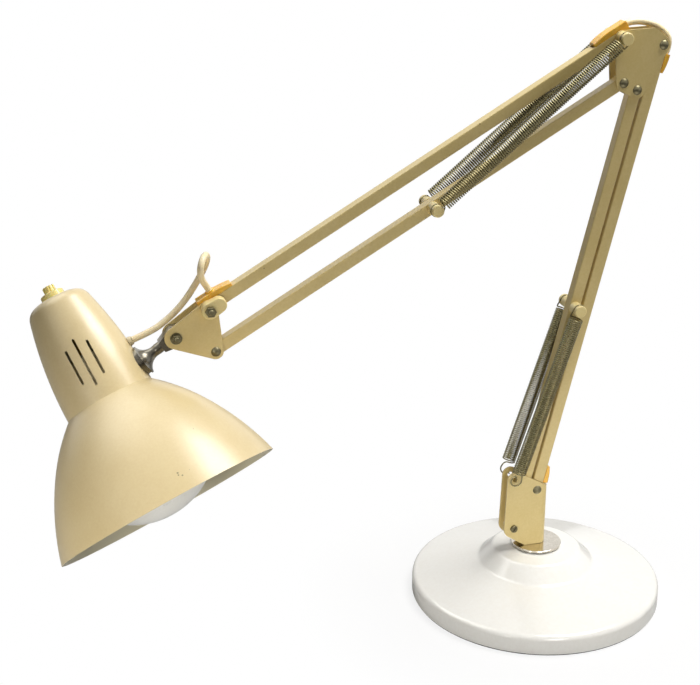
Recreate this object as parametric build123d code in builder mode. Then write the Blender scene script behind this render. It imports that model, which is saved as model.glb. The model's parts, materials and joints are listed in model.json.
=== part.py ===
"""Spring-balanced architect lamp: weighted foot, two parallelogram arms, spun shade.

Millimetres, +Z up. The origin is the middle of the foot's underside. The arms lie in the XZ plane, with the
head towards -X. In every arm plane the front of the lamp is -Y.
"""
import math
import os

from build123d import *

os.makedirs("parts", exist_ok=True)

# Stock sizes and fits
tube_side = 10.0
tube_wall = 1.0
tube_corner = 1.0
plate_sheet = 1.5
running_fit = 0.05
washer_sheet = 0.5
washer_radius = 4.7
pin_radius = 2.5
bush_wall = 0.6
rivet_head_radius = 4.0
rivet_head_height = 2.3
rivet_dome = 1.9
rivet_edge = 0.3
screw_head_radius = 3.3
nut_height = 3.2
nut_radius = 4.6
bolt_end = 1.4
bolt_dome = 1.2

# Arms at rest
lower_arm = 400.0
upper_arm = 397.0
lower_lean = 13.3
upper_drop = 30.17

# Pivots: places (x, z) on the foot bracket, then steps from one pivot to the next
foot_rear = (-4.2, 105.1)
foot_front = (-25.2, 69.2)
elbow_top_step = (-37.6, 7.3)
elbow_low_step = (-33.4, -29.6)
stem_step = (-27.4, -22.5)

# Foot
base_radius = 112.0
base_sheet = 1.5
rim_lift = 1.2
rim_corner_z = 17.2
rim_round = 5.0
hub_foot_radius = 52.0
hub_foot_z = 33.0
hub_foot_round = 7.0
hub_top_radius = 39.0
hub_top_z = 46.0
hub_top_round = 5.0
crown_z = 49.4
pad_sheet = 2.0
pad_margin = 3.5
pad_lip = 0.8
weight_height = 11.0
weight_margin = 8.0
boss_radius = 30.0
boss_height = 24.0
socket_wall = 2.0
socket_nut_radius = 13.0
socket_nut_height = 5.0
socket_nut_room = 1.5
base_washer_radius = 22.5
base_washer_sheet = 1.6

# Foot bracket
bracket_gap = 0.2
post_slack = 0.1
post_top = 94.0
post_bottom = 17.0
bracket_shoulder_z = 107.3
bracket_foot_x = -14.0
ear_place = (-25.6, 117.5)
ear_radius = 7.0
ear_hole_radius = 2.4
front_lobe_radius = 9.0

# Elbow and head plates
elbow_lobes = {"top": 5.6, "low": 6.6, "front": 6.8, "rear": 5.8}
elbow_brow = (78.5, 503.6)
elbow_brow_radius = 4.8
head_top_lobe = 7.0
head_low_lobe = 6.4
head_stem_lobe = 9.2

# Springs and their posts
wire = 1.2
coil_radius = 5.65
coil_turns = 25
coil_lead = 9.0
hook_radius = 5.4
ear_hook_radius = 6.0
spring_side_gap = 0.85
lower_post_reach = 210.4
upper_post_reach = 186.0
bobbin_radius = 5.2
bobbin_core = 4.4
bobbin_groove = 2.4
bobbin_cap = 3.2
bobbin_end = 1.4
bobbin_dome = 1.0
ear_axis_offset = 10.0

# Flex and its clips
flex_radius = 2.7
flex_sink = 1.1
clip_over = 5.7
elbow_clip_over = 9.5
elbow_clip_drop = 0.5
clip_reach = 22.5
head_clip_reach = 25.6
clip_height = 4.6
clip_tail = 2.4
clip_round = 1.0
clip_flex_rise = 0.9
clip_tunnel_reach = 17.0
clip_entry = 8.0
lower_clip_start = 6.8
lower_mouth_rise = 1.6
dive_end = 25.0
flex_set_back = 1.5
collar_radius = 3.9
collar_height = 1.0
wall_slot_slack = 0.35

# Clamp lever and stem
lever_gap = 0.2
lever_reach = (7.2, 4.1)
lever_thick = 7.0
lever_boss = 7.0
lever_tip = 6.3
lever_round = 1.2
stem_bolt_radius = 2.5
stem_washer_radius = 4.8
stem_washer_sheet = 1.0
stem_nut_radius = 4.0
stem_drop = 34.85
stem_round = 8.4
neck_radius = 4.6
neck_start = 9.0
flare_start = 18.0
flare_middle = (26.5, 6.2)
flare_radius = 12.6
flare_lip = 0.9
stem_reach = 32.0
spigot_radius = 4.0
spigot_length = 11.0
seat_gap = 0.2
seat_radius = 11.6
swivel_washer_place = 37.3
swivel_washer_radius = 6.4
swivel_washer_sheet = 1.0
swivel_nut_radius = 6.2
swivel_nut_height = 3.4

# Shade, set in its own upright frame: height above the rim along the shade's axis
stem_to_axis = 71.0
shade_swing = 29.8
stem_to_shade_angle = 81.96
stem_height = 107.0
shade_sheet = 1.0
rim_radius = 94.3
bowl_middle = (82.4, 33.8)
bowl_shoulder = (65.2, 65.0)
crease = (37.2, 97.0)
neck_middle = (35.3, 133.0)
cap_edge = (26.2, 182.4)
cap_corner = (16.5, 190.0)
cap_top = 190.0
vent_width = 2.1
vent_pitch = 9.2
vent_length = 30.0
vent_extra = 11.0
vent_height = 128.8
vent_turn = 5.3
grommet_height = 131.0
grommet_flange = 4.1
grommet_waist = 3.5
grommet_length = 3.6
grommet_tip = 3.4

# Lampholder, bulb and switch, on the shade's axis
holder_radius = 20.0
holder_mouth = 80.0
holder_floor = 111.0
holder_top = 138.0
holder_shoulder = 4.0
sleeve_radius = 14.0
sleeve_sheet = 0.6
sleeve_gap = 0.4
nipple_radius = 5.0
nipple_seat = 8.0
cap_nut_radius = 8.5
cap_nut_height = 4.0
cap_nut_gap = 0.5
bulb_apex = -6.6
bulb_face_middle = (20.0, -3.6)
bulb_face_edge = (36.0, 4.2)
bulb_belly = (40.0, 14.0)
bulb_back = (39.0, 22.0)
bulb_waist = (23.0, 58.0)
bulb_neck = (13.0, 80.0)
bulb_glass_sheet = 0.9
bulb_cap_radius = 12.8
bulb_cap_length = 24.0
bulb_tip_radius = 5.0
bulb_tip_height = 2.5
switch_collar_radius = 9.8
switch_collar_height = 6.3
switch_collar_gap = 0.1
knob_radius = 5.0
knob_height = 5.6
knob_gap = 0.3
knob_flutes = 10
knob_flute_radius = 0.7
spindle_radius = 2.2
spindle_reach = 36.0

# Sizes worked out from the ones above
half_tube = tube_side / 2
plate_in = half_tube + washer_sheet + 2 * running_fit
plate_out = plate_in + plate_sheet
pin_hole = pin_radius + running_fit
coil_outer = coil_radius + wire / 2
spring_offset = plate_out + coil_outer + spring_side_gap
post_radius = plate_in - post_slack
socket_bore = post_radius + running_fit
socket_radius = socket_bore + socket_wall
base_washer_top = crown_z + base_washer_sheet
bracket_bottom = base_washer_top + bracket_gap
flex_bore = flex_radius + running_fit


def step(place, change):
    """The place (x, z) moved by a change (x, z)."""
    return (place[0] + change[0], place[1] + change[1])


def along(angle, length):
    """A change (x, z) of some length, at an angle in degrees from +X towards +Z."""
    return (length * math.cos(math.radians(angle)), length * math.sin(math.radians(angle)))


lower_angle = 90 - lower_lean
upper_angle = 180 + upper_drop
elbow_rear = step(foot_rear, along(lower_angle, lower_arm))
elbow_front = step(foot_front, along(lower_angle, lower_arm))
elbow_top = step(elbow_rear, elbow_top_step)
elbow_low = step(elbow_rear, elbow_low_step)
head_top = step(elbow_top, along(upper_angle, upper_arm))
head_low = step(elbow_low, along(upper_angle, upper_arm))
stem_place = step(head_top, stem_step)
lower_post = step(foot_front, along(lower_angle, lower_post_reach))
upper_post = step(elbow_low, along(upper_angle, upper_post_reach))


def space(place, y=0.0):
    """The point in space of a place (x, z)."""
    return Vector(place[0], y, place[1])


def save(builder, name):
    """Name a finished piece and write it."""
    builder.part.label = name
    export_step(builder.part, f"parts/{name}.step")


def side_plane(place, angle, y=0.0):
    """A plane facing the front, at a pivot, with its X along the arm."""
    change = along(angle, 1.0)
    return Plane(origin=space(place, y), x_dir=(change[0], 0, change[1]), z_dir=(0, -1, 0))


def front_plane(y):
    """The XZ plane moved to y, with the front of the lamp as its normal."""
    return Plane.XZ.offset(-y)


def arm_tube(place, angle, length, holes=(), slots=()):
    """A square tube with rounded ends round its two pivots.

    holes are further cross holes, as distances from the first pivot. slots are flex openings in one wall, each
    (start, end, side), with side 1 or -1 for the wall that it goes through.
    """
    plane = side_plane(place, angle)
    middle = plane.from_local_coords((length / 2, 0, 0))
    with BuildPart() as tube:
        with BuildSketch(plane):
            with Locations((length / 2, 0)):
                SlotCenterToCenter(length, tube_side)
        extrude(amount=half_tube, both=True)
        fillet(tube.edges().filter_by(GeomType.LINE).sort_by(Edge.length)[-4:], tube_corner)
        with BuildSketch(Plane(origin=middle, x_dir=(0, 1, 0), z_dir=plane.x_dir)):
            Rectangle(tube_side - 2 * tube_wall, tube_side - 2 * tube_wall)
        extrude(amount=length, both=True, mode=Mode.SUBTRACT)
        with BuildSketch(plane):
            with Locations(*[(reach, 0) for reach in (0, length, *holes)]):
                Circle(pin_hole)
        extrude(amount=tube_side, both=True, mode=Mode.SUBTRACT)
        for start, end, side in slots:
            with BuildSketch(plane):
                with Locations(((start + end) / 2, side * half_tube)):
                    Rectangle(end - start, 3 * tube_wall)
            extrude(amount=flex_bore + wall_slot_slack, both=True, mode=Mode.SUBTRACT)
    return tube


def plates(lobes, holes):
    """A pair of flat plates, one on each side of the arms. Lobes and holes are each (place, radius)."""
    with BuildPart() as pair:
        for outward in (1, -1):
            with BuildSketch(front_plane(-outward * plate_in)):
                for place, radius in lobes:
                    with Locations(place):
                        Circle(radius)
                make_hull()
                for place, radius in holes:
                    with Locations(place):
                        Circle(radius, mode=Mode.SUBTRACT)
            extrude(amount=outward * plate_sheet)
    return pair


def rivet_head(place, outward):
    """A round-topped rivet head on the outside of one plate."""
    rise = rivet_head_height - rivet_edge
    dome = (rivet_head_radius**2 + rise**2) / (2 * rise)
    with BuildPart() as head:
        with BuildSketch(front_plane(-outward * plate_out)):
            with Locations(place):
                Circle(rivet_head_radius)
        extrude(amount=outward * rivet_head_height)
        with Locations(space(place, -outward * (plate_out + rivet_head_height - dome))):
            Sphere(dome, mode=Mode.INTERSECT)
    return head


def rivets(places):
    """Domed rivets through both plates."""
    with BuildPart() as group:
        with BuildSketch(front_plane(0)):
            with Locations(*places):
                Circle(pin_radius)
        extrude(amount=plate_out, both=True)
        for place in places:
            for outward in (1, -1):
                add(rivet_head(place, outward))
    return group


def bushes(places):
    """Spacer bushes inside a tube, round its pivot pins."""
    with BuildPart() as group:
        with BuildSketch(front_plane(0)):
            with Locations(*places):
                Circle(pin_hole + bush_wall)
                Circle(pin_hole, mode=Mode.SUBTRACT)
        extrude(amount=half_tube - tube_wall - running_fit, both=True)
    return group


def friction_washers(holes):
    """Thin washers on both sides of each tube, against the plates. Holes are each (place, radius)."""
    with BuildPart() as group:
        for outward in (1, -1):
            with BuildSketch(front_plane(-outward * (half_tube + running_fit))):
                for place, radius in holes:
                    with Locations(place):
                        Circle(washer_radius)
                        Circle(radius, mode=Mode.SUBTRACT)
            extrude(amount=outward * washer_sheet)
    return group


def spring_post(place):
    """The steel pin that carries a bobbin on each side."""
    with BuildPart() as pin:
        with BuildSketch(front_plane(0)):
            with Locations(place):
                Circle(pin_radius)
        extrude(amount=spring_offset + bobbin_groove / 2 + bobbin_cap - bobbin_end - running_fit, both=True)
    return pin


def bobbins(place, seat):
    """Grooved plastic bobbins on both ends of a spring post, each seated at a distance from the arm plane."""
    groove_start = spring_offset - bobbin_groove / 2
    groove_end = spring_offset + bobbin_groove / 2
    cap_end = groove_end + bobbin_cap
    with BuildPart() as pair:
        for outward in (1, -1):
            for start, end, radius in (
                (seat, groove_start, bobbin_radius),
                (groove_start, groove_end, bobbin_core),
                (groove_end, cap_end, bobbin_radius),
            ):
                with BuildSketch(front_plane(-outward * start)):
                    with Locations(place):
                        Circle(radius)
                extrude(amount=outward * (end - start))
        faces = pair.faces().filter_by(Plane.XZ).sort_by(Axis.Y)
        fillet(faces[0].edges() + faces[-1].edges(), bobbin_dome)
        with BuildSketch(front_plane(0)):
            with Locations(place):
                Circle(pin_hole)
        extrude(amount=cap_end - bobbin_end, both=True, mode=Mode.SUBTRACT)
    return pair


def clip_block(plane, side, start, drop=None, reach_end=clip_reach):
    """A moulded strip on one face of a tube, tapered to its tail and rounded on its free side.

    With a drop, its front end is carried down round the end of the tube, to that much below the pivot.
    """
    crown = half_tube + clip_height
    front = [(clip_entry, crown), (start, crown)]
    if drop is None:
        front += [(start, half_tube)]
    else:
        front += [(start, -drop), (0, -drop), (0, half_tube)]
    tail = (reach_end, half_tube + clip_tail)
    outline = [(reach, side * rise) for reach, rise in (*front, (reach_end, half_tube), tail)]
    with BuildPart() as block:
        with BuildSketch(plane):
            with BuildLine():
                Polyline(*outline)
                TangentArc(outline[0], outline[-1], tangent=(1, 0))
            make_face()
            if drop is not None:
                Circle(half_tube + running_fit, mode=Mode.SUBTRACT)
        extrude(amount=half_tube, both=True)
        crown_middle = plane.from_local_coords(((start + clip_entry) / 2, side * crown, 0))
        flat = block.faces().sort_by_distance(crown_middle)[0]
        tail_middle = plane.from_local_coords((*outline[-1], 0))
        slope = block.faces().filter_by(GeomType.CYLINDER).sort_by_distance(tail_middle)[0]
        seam = flat.edges() & slope.edges()
        fillet(flat.edges() + slope.edges() - seam, clip_round)
    return block.part


def dive_plane(plane, side):
    """A plane across the slanted stretch of flex that goes from a lower clip's mouth into its tube."""
    mouth = plane.from_local_coords((lower_clip_start, side * (half_tube + lower_mouth_rise), 0))
    floor = plane.from_local_coords((dive_end, -side * flex_sink, 0))
    return Plane(origin=mouth, x_dir=(0, 1, 0), z_dir=floor - mouth)


def lower_flex_clips(ends):
    """The pair of clips on the rear lower tube, each end given as (place, angle, side)."""
    planes = [(side_plane(place, angle), side) for place, angle, side in ends]
    blocks = [clip_block(plane, side, lower_clip_start) for plane, side in planes]
    with BuildPart() as pair:
        add(blocks)
        for plane, side in planes:
            with BuildSketch(dive_plane(plane, side)):
                Circle(flex_bore)
            extrude(amount=dive_end, both=True, mode=Mode.SUBTRACT)
    return pair


def elbow_end_clip(place, angle, side):
    """The clip at the elbow end of the upper tube: it caps the tube, and the flex comes out of its end."""
    plane = side_plane(place, angle)
    bend = plane.from_local_coords((clip_entry, side * (half_tube + clip_flex_rise), 0))
    floor = plane.from_local_coords((dive_end, -side * flex_sink, 0))
    block = clip_block(plane, side, -elbow_clip_over, elbow_clip_drop)
    with BuildPart() as clip:
        add(block)
        for heading, length in ((-plane.x_dir, clip_entry + 2 * elbow_clip_over), (floor - bend, dive_end)):
            behind = bend - heading.normalized() * flex_bore / 2
            with BuildSketch(Plane(origin=behind, x_dir=(0, 1, 0), z_dir=heading)):
                Circle(flex_bore)
            extrude(amount=length, mode=Mode.SUBTRACT)
        with BuildSketch(plane):
            with Locations((clip_tunnel_reach / 2, side * half_tube)):
                Rectangle(clip_tunnel_reach, 2 * clip_flex_rise)
        extrude(amount=flex_bore, both=True, mode=Mode.SUBTRACT)
    return clip


def head_end_clip(place, angle, side):
    """The clip at the head end of the upper tube, with a collar where the flex drops in."""
    plane = side_plane(place, angle)
    top = half_tube + clip_height
    block = clip_block(plane, side, -clip_over, reach_end=head_clip_reach)
    mouth = Plane(
        origin=plane.from_local_coords((clip_entry, side * (top - clip_round), 0)),
        x_dir=(0, 1, 0),
        z_dir=plane.y_dir * side,
    )
    trench_start = clip_entry - flex_bore
    with BuildPart() as clip:
        add(block)
        with BuildSketch(mouth):
            Circle(collar_radius)
        extrude(amount=clip_round + collar_height)
        with BuildSketch(mouth):
            Circle(flex_bore)
        extrude(amount=clip_height, both=True, mode=Mode.SUBTRACT)
        with BuildSketch(plane):
            with Locations(((trench_start + clip_tunnel_reach) / 2, side * half_tube)):
                Rectangle(clip_tunnel_reach - trench_start, 2 * (clip_height - clip_round - tube_wall))
        extrude(amount=flex_bore, both=True, mode=Mode.SUBTRACT)
    return clip


def corner_radii(points):
    """The largest arcs that the runs of a cord's route leave room for, one for each corner."""
    radii = []
    for before, here, after in zip(points, points[1:], points[2:]):
        run_in = here - before
        run_out = after - here
        half_turn = math.radians(run_in.get_angle(run_out)) / 2
        radii.append(0.45 * min(run_in.length, run_out.length) / math.tan(half_turn))
    return radii


def flex_cord(name, points):
    """A round cord along its route, checked against its section times its length."""
    points = [Vector(*point) for point in points]
    radii = corner_radii(points)
    with BuildPart() as cord:
        with BuildLine() as route:
            FilletPolyline(*points, radius=radii)
        with BuildSketch(Plane(origin=points[0], z_dir=points[1] - points[0])):
            Circle(flex_radius)
        sweep(path=route.wires()[0])
    length = route.wires()[0].length
    share = cord.part.volume / (math.pi * flex_radius**2 * length)
    print(f"{name}: length {length:.1f}, radii {[round(radius, 1) for radius in radii]}, volume share {share:.4f}")
    return cord


def hook_stations(centre, to_coil, side, radius):
    """Places and directions round a hook ring, from its free tip to where it leaves for the coil."""
    stations = []
    for turn in (-150, -75, 0, 90):
        angle = math.radians(turn)
        place = centre + (side * math.sin(angle) - to_coil * math.cos(angle)) * radius
        heading = side * math.cos(angle) + to_coil * math.sin(angle)
        stations.append((place, heading))
    return stations


def coil_spring(name, start, end, start_side, end_side, end_radius=hook_radius):
    """An extension spring with a hook ring at each end, as one unbroken wire.

    start and end are the ring centres. start_side and end_side point square to the spring's axis, to where the
    wire leaves each ring.
    """
    axis = (end - start).normalized()
    cross = axis.cross(start_side)
    entry_turn = math.radians(60)
    end_turn = math.atan2(end_side.dot(cross), end_side.dot(start_side)) - entry_turn
    sweep_angle = end_turn - entry_turn + 2 * math.pi * coil_turns
    while sweep_angle > 2 * math.pi * coil_turns:
        sweep_angle -= 2 * math.pi
    coil_length = (end - start).length - 2 * coil_lead
    rise = coil_length / sweep_angle
    stations = hook_stations(start, axis, start_side, hook_radius)
    halves = round(sweep_angle / math.pi)
    for count in range(halves + 1):
        turned = sweep_angle * count / halves
        angle = entry_turn + turned
        spoke = start_side * math.cos(angle) + cross * math.sin(angle)
        heading = cross * math.cos(angle) - start_side * math.sin(angle)
        place = start + axis * (coil_lead + rise * turned) + spoke * coil_radius
        stations.append((place, (heading * coil_radius + axis * rise).normalized()))
    for place, heading in reversed(hook_stations(end, -axis, end_side, end_radius)):
        stations.append((place, -heading))
    points = []
    with BuildPart() as spring:
        with BuildLine() as path:
            first, first_heading = stations[0]
            last, last_heading = stations[-1]
            Line(first - first_heading * wire, first)
            for (place, heading), (goal, goal_heading) in zip(stations, stations[1:]):
                span = goal - place
                both = heading + goal_heading
                spread = 2 * (1 - heading.dot(goal_heading))
                reach = (math.sqrt(span.dot(both) ** 2 + spread * span.dot(span)) - span.dot(both)) / spread
                near = place + heading * reach
                far = goal - goal_heading * reach
                meet = (near + far) * 0.5
                for arc in (
                    TangentArc(place, meet, tangent=heading),
                    TangentArc(meet, goal, tangent=far - near),
                ):
                    points += [arc @ share for share in (0.0, 0.25, 0.5, 0.75)]
            Line(last, last + last_heading * wire)
        with BuildSketch(Plane(origin=first - first_heading * wire, z_dir=first_heading)):
            Circle(wire / 2)
        sweep(path=path.wires()[0])
    print(f"{name}: {sweep_angle / 2 / math.pi:.2f} turns, least gap {least_gap(points):.2f}")
    return spring


def least_gap(points):
    """The least clear space between two stretches of a wire that aren't neighbours."""
    least = math.inf
    apart = 8
    for number, point in enumerate(points):
        for other in points[number + apart:]:
            least = min(least, (other - point).length)
    return least - wire


# Foot: shell, weight, pad, socket and polished washer
with BuildPart() as base_shell:
    with BuildSketch(Plane.XZ):
        with BuildLine():
            FilletPolyline(
                (base_radius, rim_lift),
                (base_radius, rim_corner_z),
                (hub_foot_radius, hub_foot_z),
                (hub_top_radius, hub_top_z),
                (socket_radius + running_fit, crown_z),
                radius=[rim_round, hub_foot_round, hub_top_round],
            )
            offset(amount=base_sheet, side=Side.LEFT)
        make_face()
    revolve(axis=Axis.Z)
    with BuildSketch(Plane.XY.offset(crown_z)):
        Circle(2 * socket_radius)
        Circle(socket_radius + running_fit, mode=Mode.SUBTRACT)
    extrude(amount=base_washer_sheet, mode=Mode.SUBTRACT)
    with BuildSketch(Plane.XY):
        Circle(socket_radius + running_fit)
    extrude(amount=base_washer_top, mode=Mode.SUBTRACT)
save(base_shell, "base_shell")

with BuildPart() as base_pad:
    with BuildSketch(Plane.XY):
        Circle(base_radius - pad_lip)
    extrude(amount=rim_lift - running_fit)
    with BuildSketch(Plane.XY):
        Circle(base_radius - pad_margin)
    extrude(amount=pad_sheet)
save(base_pad, "base_pad")

with BuildPart() as base_weight:
    with BuildSketch(Plane.XY.offset(pad_sheet)):
        Circle(base_radius - weight_margin)
    extrude(amount=weight_height)
    with BuildSketch(Plane.XY.offset(pad_sheet)):
        Circle(boss_radius)
    extrude(amount=boss_height)
    fillet(base_weight.edges().filter_by(GeomType.CIRCLE).group_by(Axis.Z)[-1], 2 * base_sheet)
    with BuildSketch(Plane.XY):
        Circle(socket_radius + running_fit)
    extrude(amount=base_washer_top, mode=Mode.SUBTRACT)
    with BuildSketch(Plane.XY.offset(pad_sheet)):
        Circle(socket_nut_radius + socket_nut_room)
    extrude(amount=socket_nut_height + socket_nut_room, mode=Mode.SUBTRACT)
save(base_weight, "base_weight")

with BuildPart() as base_socket:
    with BuildSketch(Plane.XY.offset(pad_sheet + socket_nut_room)):
        Circle(socket_radius)
        Circle(socket_bore, mode=Mode.SUBTRACT)
    extrude(amount=base_washer_top - pad_sheet - socket_nut_room)
    with BuildSketch(Plane.XY.offset(pad_sheet + socket_nut_room)):
        RegularPolygon(socket_nut_radius, 6)
        Circle(socket_bore, mode=Mode.SUBTRACT)
    extrude(amount=socket_nut_height)
save(base_socket, "base_socket")

with BuildPart() as base_washer:
    with BuildSketch(Plane.XY.offset(crown_z)):
        Circle(base_washer_radius)
        Circle(socket_radius + running_fit, mode=Mode.SUBTRACT)
    extrude(amount=base_washer_sheet)
    fillet(base_washer.faces().sort_by(Axis.Z)[-1].edges().sort_by(Edge.length)[-1], base_washer_sheet / 3)
save(base_washer, "base_washer")

# Foot bracket: post, folded channel with ears, and its pivots
with BuildPart() as swivel_post:
    with BuildSketch(Plane.XY.offset(post_bottom)):
        Circle(post_radius)
    extrude(amount=post_top - post_bottom)
    chamfer(swivel_post.edges().filter_by(GeomType.CIRCLE), running_fit * 10)
save(swivel_post, "swivel_post")

bracket_top = ear_place[1] + ear_radius
bracket_left = min(ear_place[0] - ear_radius, foot_front[0] - front_lobe_radius)
with BuildPart() as lower_bracket:
    with BuildSketch(Plane.XY.offset(bracket_bottom)):
        for half, mode in ((plate_out, Mode.ADD), (plate_in, Mode.SUBTRACT)):
            Circle(half, mode=mode)
            with Locations((bracket_left, 0)):
                Rectangle(-2 * bracket_left, 2 * half, mode=mode)
    extrude(amount=bracket_top - bracket_bottom)
    with BuildSketch(front_plane(0)):
        with Locations(ear_place):
            Circle(ear_radius)
        with Locations(foot_front):
            Circle(front_lobe_radius)
        Polygon(
            (bracket_foot_x, bracket_bottom),
            (plate_out, bracket_bottom),
            (plate_out, bracket_shoulder_z),
            align=None,
        )
        make_hull()
    extrude(amount=2 * plate_out, both=True, mode=Mode.INTERSECT)
    with BuildSketch(front_plane(0)):
        with Locations(foot_rear, foot_front):
            Circle(pin_hole)
        with Locations(ear_place):
            Circle(ear_hole_radius)
    extrude(amount=2 * plate_out, both=True, mode=Mode.SUBTRACT)
save(lower_bracket, "lower_bracket")

save(rivets([foot_rear]), "foot_pivot_rivet")

with BuildPart() as foot_pivot_screw:
    with BuildSketch(front_plane(plate_out + nut_height)):
        with Locations(foot_front):
            Circle(pin_radius)
    extrude(amount=2 * plate_out + nut_height)
    with BuildSketch(front_plane(-plate_out)):
        with Locations(foot_front):
            Circle(screw_head_radius)
    extrude(amount=rivet_head_height)
    head_face = foot_pivot_screw.faces().filter_by(Plane.XZ).sort_by(Axis.Y)[0]
    fillet(head_face.edges(), rivet_dome / 2)
    slot_turn = side_plane(foot_front, 55, -plate_out - rivet_head_height)
    with BuildSketch(slot_turn):
        Rectangle(3 * screw_head_radius, screw_head_radius / 4)
    extrude(amount=-rivet_head_height / 2, mode=Mode.SUBTRACT)
save(foot_pivot_screw, "foot_pivot_screw")

with BuildPart() as foot_pivot_nut:
    with BuildSketch(front_plane(plate_out)):
        with Locations(foot_front):
            RegularPolygon(nut_radius, 6)
            Circle(pin_hole, mode=Mode.SUBTRACT)
    extrude(amount=-nut_height)
save(foot_pivot_nut, "foot_pivot_nut")
save(friction_washers([(foot_rear, pin_hole), (foot_front, pin_hole)]), "foot_friction_washers")

# Lower arm
slot_start = pin_hole + bush_wall + tube_wall
slot_end = dive_end - tube_wall
lower_slots = [(slot_start, slot_end, -1), (lower_arm - slot_end, lower_arm + tube_side, -1)]
lower_rear_tube = arm_tube(foot_rear, lower_angle, lower_arm, slots=lower_slots)
save(lower_rear_tube, "lower_rear_tube")
save(bushes([foot_rear, elbow_rear]), "lower_rear_bushes")
lower_clip_ends = [(foot_rear, lower_angle, -1), (elbow_rear, lower_angle + 180, 1)]
save(lower_flex_clips(lower_clip_ends), "lower_flex_clips")
lower_front_tube = arm_tube(foot_front, lower_angle, lower_arm, holes=[lower_post_reach])
save(lower_front_tube, "lower_front_tube")
save(bushes([foot_front, elbow_front]), "lower_front_bushes")
save(spring_post(lower_post), "lower_spring_post")
save(bobbins(lower_post, half_tube), "lower_spring_bobbins")

# Elbow
elbow_plate_lobes = [
    (elbow_top, elbow_lobes["top"]),
    (elbow_low, elbow_lobes["low"]),
    (elbow_front, elbow_lobes["front"]),
    (elbow_rear, elbow_lobes["rear"]),
    (elbow_brow, elbow_brow_radius),
]
elbow_pivots = [elbow_top, elbow_low, elbow_front, elbow_rear]
elbow_holes = [(place, pin_hole) for place in elbow_pivots]
save(plates(elbow_plate_lobes, elbow_holes), "elbow_plates")
save(rivets([elbow_low, elbow_front, elbow_rear]), "elbow_rivets")
save(spring_post(elbow_top), "elbow_spring_post")
save(bobbins(elbow_top, plate_out), "elbow_spring_bobbins")
save(friction_washers(elbow_holes), "elbow_friction_washers")

# Upper arm
upper_slots = [(slot_start, slot_end, 1), (upper_arm - slot_end, upper_arm + tube_side, 1)]
upper_top_tube = arm_tube(head_top, upper_angle - 180, upper_arm, slots=upper_slots)
save(upper_top_tube, "upper_top_tube")
save(bushes([elbow_top, head_top]), "upper_top_bushes")
save(elbow_end_clip(elbow_top, upper_angle, -1), "elbow_flex_clip")
save(head_end_clip(head_top, upper_angle - 180, 1), "head_flex_clip")
upper_bottom_tube = arm_tube(elbow_low, upper_angle, upper_arm, holes=[upper_post_reach])
save(upper_bottom_tube, "upper_bottom_tube")
save(bushes([elbow_low, head_low]), "upper_bottom_bushes")
save(spring_post(upper_post), "upper_spring_post")
save(bobbins(upper_post, half_tube), "upper_spring_bobbins")

# Springs: the lower pair from the post to the bracket's ears, the upper pair from the elbow to the upper post
plate_middle = (plate_in + plate_out) / 2
ear_rise = math.sqrt(ear_hook_radius**2 - (ear_axis_offset - plate_middle) ** 2)
for name, outward in (("front", -1), ("back", 1)):
    outside = Vector(0, outward, 0)
    top = space(lower_post, outward * spring_offset)
    ear = space(ear_place, outward * ear_axis_offset)
    foot = ear + (top - ear).normalized() * ear_rise
    axis = (foot - top).normalized()
    spring = coil_spring(
        f"lower_spring_{name}",
        top,
        foot,
        Vector(0, 1, 0).cross(axis).normalized(),
        (outside - axis * outside.dot(axis)).normalized(),
        ear_hook_radius,
    )
    save(spring, f"lower_spring_{name}")
    top = space(elbow_top, outward * spring_offset)
    foot = space(upper_post, outward * spring_offset)
    sideways = Vector(0, 1, 0).cross((foot - top).normalized()).normalized()
    spring = coil_spring(f"upper_spring_{name}", top, foot, sideways, sideways)
    save(spring, f"upper_spring_{name}")

# Head bracket, clamp lever and pivot hardware
head_lobes = [(head_top, head_top_lobe), (head_low, head_low_lobe), (stem_place, head_stem_lobe)]
head_holes = [(head_top, pin_hole), (head_low, pin_hole), (stem_place, stem_bolt_radius + running_fit)]
save(plates(head_lobes, head_holes), "head_plates")
save(rivets([head_low]), "head_rivet")
save(friction_washers(head_holes), "head_friction_washers")

lever_front = plate_out + lever_gap + lever_thick
with BuildPart() as clamp_bolt:
    with BuildSketch(front_plane(plate_out)):
        with Locations(head_top):
            Circle(pin_radius)
    extrude(amount=plate_out + lever_front + nut_height + bolt_end)
    fillet(clamp_bolt.faces().sort_by(Axis.Y)[0].edges(), bolt_dome)
    with BuildSketch(front_plane(plate_out)):
        with Locations(head_top):
            RegularPolygon(nut_radius, 6)
    extrude(amount=-nut_height)
save(clamp_bolt, "clamp_bolt")

with BuildPart() as clamp_lever:
    with BuildSketch(front_plane(-plate_out - lever_gap)):
        with Locations(head_top):
            Circle(lever_boss)
        with Locations(step(head_top, lever_reach)):
            Circle(lever_tip)
        make_hull()
    extrude(amount=lever_thick)
    lever_face = clamp_lever.faces().filter_by(Plane.XZ).sort_by(Axis.Y)[0]
    fillet(lever_face.edges(), lever_round)
    with BuildSketch(front_plane(0)):
        with Locations(head_top):
            Circle(pin_hole)
    extrude(amount=2 * lever_front, mode=Mode.SUBTRACT)
save(clamp_lever, "clamp_lever")

with BuildPart() as clamp_nut:
    with BuildSketch(front_plane(-lever_front)):
        with Locations(head_top):
            RegularPolygon(nut_radius, 6)
            Circle(pin_hole, mode=Mode.SUBTRACT)
    extrude(amount=nut_height)
    fillet(clamp_nut.faces().sort_by(Axis.Y)[0].outer_wire().edges(), nut_height / 6)
save(clamp_nut, "clamp_nut")

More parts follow.
